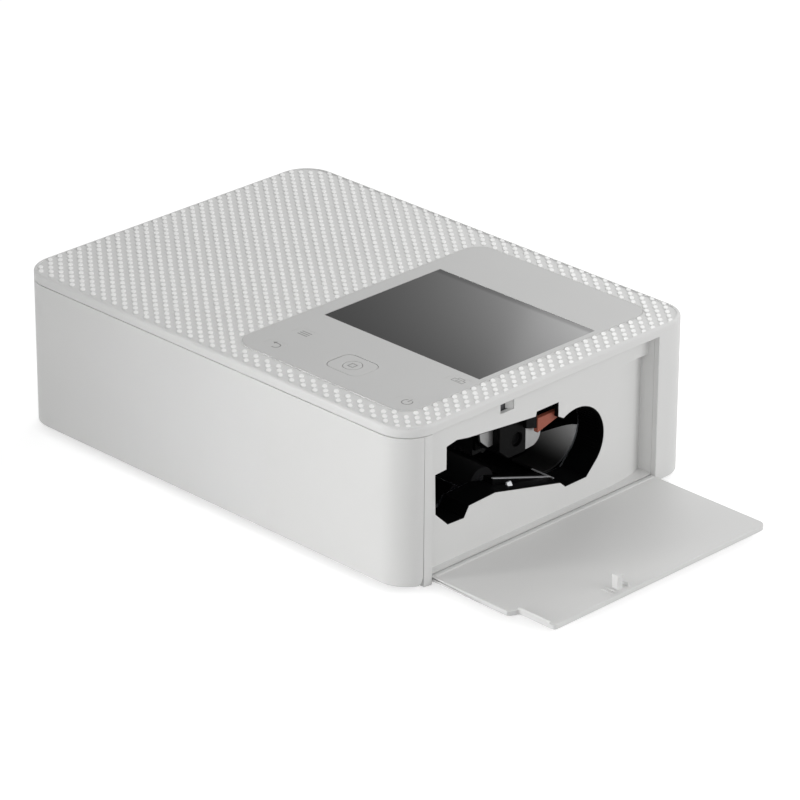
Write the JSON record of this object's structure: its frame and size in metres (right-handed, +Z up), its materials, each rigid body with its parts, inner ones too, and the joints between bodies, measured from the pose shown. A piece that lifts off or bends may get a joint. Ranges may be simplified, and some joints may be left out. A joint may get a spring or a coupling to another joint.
{
  "type": "compact photo printer",
  "caption": "Compact photo printer with a control panel on top, a front cover over the paper slot and an open side cover over its ribbon bay.",
  "frame": {"origin": "middle of the case on the plane that its feet stand on", "axes": "+X points out of the side with the ribbon bay, -Y out of the front cover, +Z up"},
  "size_m": [0.2311, 0.133, 0.0576],
  "materials": {
    "case_white": "moulded, satin white",
    "case_pale_grey": "moulded, fine texture",
    "panel_grey": "moulded, satin",
    "screen_window": "clear cover over a grey display",
    "black_plastic": "moulded, black",
    "circuit_board": "solder resist over glass fibre",
    "film_cable": "laminated film",
    "foot_rubber": "moulded",
    "roller_rubber": "ground",
    "pin_steel": "ground bar",
    "sheet_steel": "pressed, zinc plated sheet",
    "satin_metal": "satin",
    "head_ceramic": "glazed",
    "lever_orange": "moulded, orange brown",
    "gear_plastic": "moulded, natural white",
    "motor_can": "drawn steel can",
    "pinion_brass": "turned",
    "port_steel": "folded, tin plated"
  },
  "bodies": {
    "case": {"lower_housing": "case_pale_grey", "upper_housing": "case_white", "front_hinge_pins": "pin_steel", "tray_frame": "case_pale_grey", "bay_frame": "case_white", "side_hinge_pins": "pin_steel", "cover_switch": "black_plastic", "control_panel": "panel_grey", "screen_window": "screen_window", "lcd_module": "black_plastic", "key_board": "circuit_board", "flat_cable": "film_cable", "rubber_feet": "foot_rubber", "case_screws": "pin_steel", "left_frame": "sheet_steel", "right_frame": "sheet_steel", "motor_plate": "sheet_steel", "tie_rods": "pin_steel", "cassette_liner": "black_plastic", "front_cradle": "black_plastic", "rear_cradle": "satin_metal", "paper_guide": "black_plastic", "lock_spring": "pin_steel", "head_shaft": "pin_steel", "roller_bushes": "gear_plastic", "feed_motor": "motor_can", "ribbon_motor": "motor_can", "main_board": "circuit_board", "dc_jack": "black_plastic", "usb_port": "port_steel", "card_slot": "port_steel"},
    "front_cover_body": {"front_cover": "case_white"},
    "side_cover_body": {"side_cover": "case_white"},
    "menu_key_body": {"menu_key": "panel_grey"},
    "back_key_body": {"back_key": "panel_grey"},
    "print_key_body": {"print_key": "panel_grey"},
    "power_key_body": {"power_key": "panel_grey"},
    "pad_carrier_body": {"pad_carrier": "black_plastic"},
    "four_way_key_body": {"four_way_key": "panel_grey"},
    "ok_key_body": {"ok_key": "panel_grey"},
    "lock_lever_body": {"lock_lever": "lever_orange"},
    "head_body": {"head_arm": "sheet_steel", "heat_sink": "satin_metal", "thermal_head": "head_ceramic", "head_end_cap": "black_plastic"},
    "platen_body": {"platen_roller": "roller_rubber", "platen_shaft": "pin_steel"},
    "capstan_body": {"capstan_roller": "pin_steel", "capstan_gear": "gear_plastic"},
    "idler_body": {"idler_gear": "gear_plastic"},
    "feed_pinion_body": {"feed_pinion": "pinion_brass"},
    "pinch_body": {"pinch_roller": "pin_steel"},
    "pickup_body": {"pickup_shaft": "pin_steel", "pickup_roller": "roller_rubber", "pickup_gear": "gear_plastic"},
    "pickup_idler_body": {"pickup_idler": "gear_plastic"},
    "ribbon_pinion_body": {"ribbon_pinion": "pinion_brass"},
    "take_up_body": {"take_up_spindle": "gear_plastic", "take_up_gear": "gear_plastic"},
    "supply_body": {"supply_spindle": "gear_plastic"}
  },
  "joints": [
    {"name": "side_cover_hinge", "type": "hinge", "parent": "case", "child": "side_cover_body", "pos_m": [0.0902, -0.0029, 0.0036], "axis": [0, -1, 0], "range_deg": [0, 90]},
    {"name": "front_cover_hinge", "type": "hinge", "parent": "case", "child": "front_cover_body", "pos_m": [0, -0.0623, 0.005], "axis": [1, 0, 0], "range_deg": [0, 90]},
    {"name": "menu_key_press", "type": "slide", "parent": "case", "child": "menu_key_body", "axis": [0, 0, -1], "range_m": [0, 0.0004], "stiffness_N_per_m": 150},
    {"name": "back_key_press", "type": "slide", "parent": "case", "child": "back_key_body", "axis": [0, 0, -1], "range_m": [0, 0.0004], "stiffness_N_per_m": 150},
    {"name": "print_key_press", "type": "slide", "parent": "case", "child": "print_key_body", "axis": [0, 0, -1], "range_m": [0, 0.0004], "stiffness_N_per_m": 150},
    {"name": "power_key_press", "type": "slide", "parent": "case", "child": "power_key_body", "axis": [0, 0, -1], "range_m": [0, 0.0004], "stiffness_N_per_m": 150},
    {"name": "ok_key_press", "type": "slide", "parent": "case", "child": "ok_key_body", "axis": [0, 0, -1], "range_m": [0, 0.0004], "stiffness_N_per_m": 150},
    {"name": "pad_tilt_left_right", "type": "hinge", "parent": "case", "child": "pad_carrier_body", "pos_m": [0.0426, -0.0423, 0.05455], "axis": [0, 1, 0], "range_deg": [-1.5, 1.5], "stiffness_Nm_per_rad": 0.02},
    {"name": "pad_tilt_front_back", "type": "hinge", "parent": "pad_carrier_body", "child": "four_way_key_body", "pos_m": [0.0426, -0.0423, 0.05455], "axis": [1, 0, 0], "range_deg": [-1.5, 1.5], "stiffness_Nm_per_rad": 0.02},
    {"name": "lock_lever_lift", "type": "slide", "parent": "case", "child": "lock_lever_body", "axis": [0, 0, 1], "range_m": [0, 0.002], "stiffness_N_per_m": 200, "deforming": ["lock_spring"]},
    {"name": "head_lower", "type": "hinge", "parent": "case", "child": "head_body", "pos_m": [0.012, 0.031, 0.046], "axis": [1, 0, 0], "range_deg": [0, 11.4]},
    {"name": "platen_turn", "type": "hinge", "parent": "case", "child": "platen_body", "pos_m": [0.012, -0.005, 0.0107], "axis": [1, 0, 0], "continuous": true},
    {"name": "capstan_turn", "type": "hinge", "parent": "case", "child": "capstan_body", "pos_m": [0.012, 0.0335, 0.0083], "axis": [1, 0, 0], "continuous": true},
    {"name": "idler_turn", "type": "hinge", "parent": "case", "child": "idler_body", "pos_m": [-0.056, 0.0386, 0.01875], "axis": [1, 0, 0], "continuous": true},
    {"name": "feed_pinion_turn", "type": "hinge", "parent": "case", "child": "feed_pinion_body", "pos_m": [-0.056, 0.04607, 0.02765], "axis": [1, 0, 0], "continuous": true},
    {"name": "pinch_turn", "type": "hinge", "parent": "case", "child": "pinch_body", "pos_m": [0.012, 0.0335, 0.0135], "axis": [1, 0, 0], "continuous": true},
    {"name": "pickup_turn", "type": "hinge", "parent": "case", "child": "pickup_body", "pos_m": [0.012, -0.017, 0.0125], "axis": [1, 0, 0], "continuous": true},
    {"name": "pickup_idler_turn", "type": "hinge", "parent": "case", "child": "pickup_idler_body", "pos_m": [-0.056, -0.00903, 0.02609], "axis": [1, 0, 0], "continuous": true},
    {"name": "ribbon_pinion_turn", "type": "hinge", "parent": "case", "child": "ribbon_pinion_body", "pos_m": [-0.056, 0.00359, 0.03184], "axis": [1, 0, 0], "continuous": true},
    {"name": "take_up_turn", "type": "hinge", "parent": "case", "child": "take_up_body", "pos_m": [-0.056, 0.0154, 0.0253], "axis": [1, 0, 0], "continuous": true},
    {"name": "supply_turn", "type": "hinge", "parent": "case", "child": "supply_body", "pos_m": [-0.05, -0.0365, 0.031], "axis": [1, 0, 0], "continuous": true}
  ],
  "couplings": [
    {"joint": "idler_turn", "follows": "capstan_turn", "ratio": -0.40909},
    {"joint": "feed_pinion_turn", "follows": "capstan_turn", "ratio": 1},
    {"joint": "pinch_turn", "follows": "capstan_turn", "ratio": -1.04},
    {"joint": "pickup_idler_turn", "follows": "pickup_turn", "ratio": -0.5},
    {"joint": "ribbon_pinion_turn", "follows": "pickup_turn", "ratio": 1.5556},
    {"joint": "take_up_turn", "follows": "pickup_turn", "ratio": -0.51852}
  ]
}
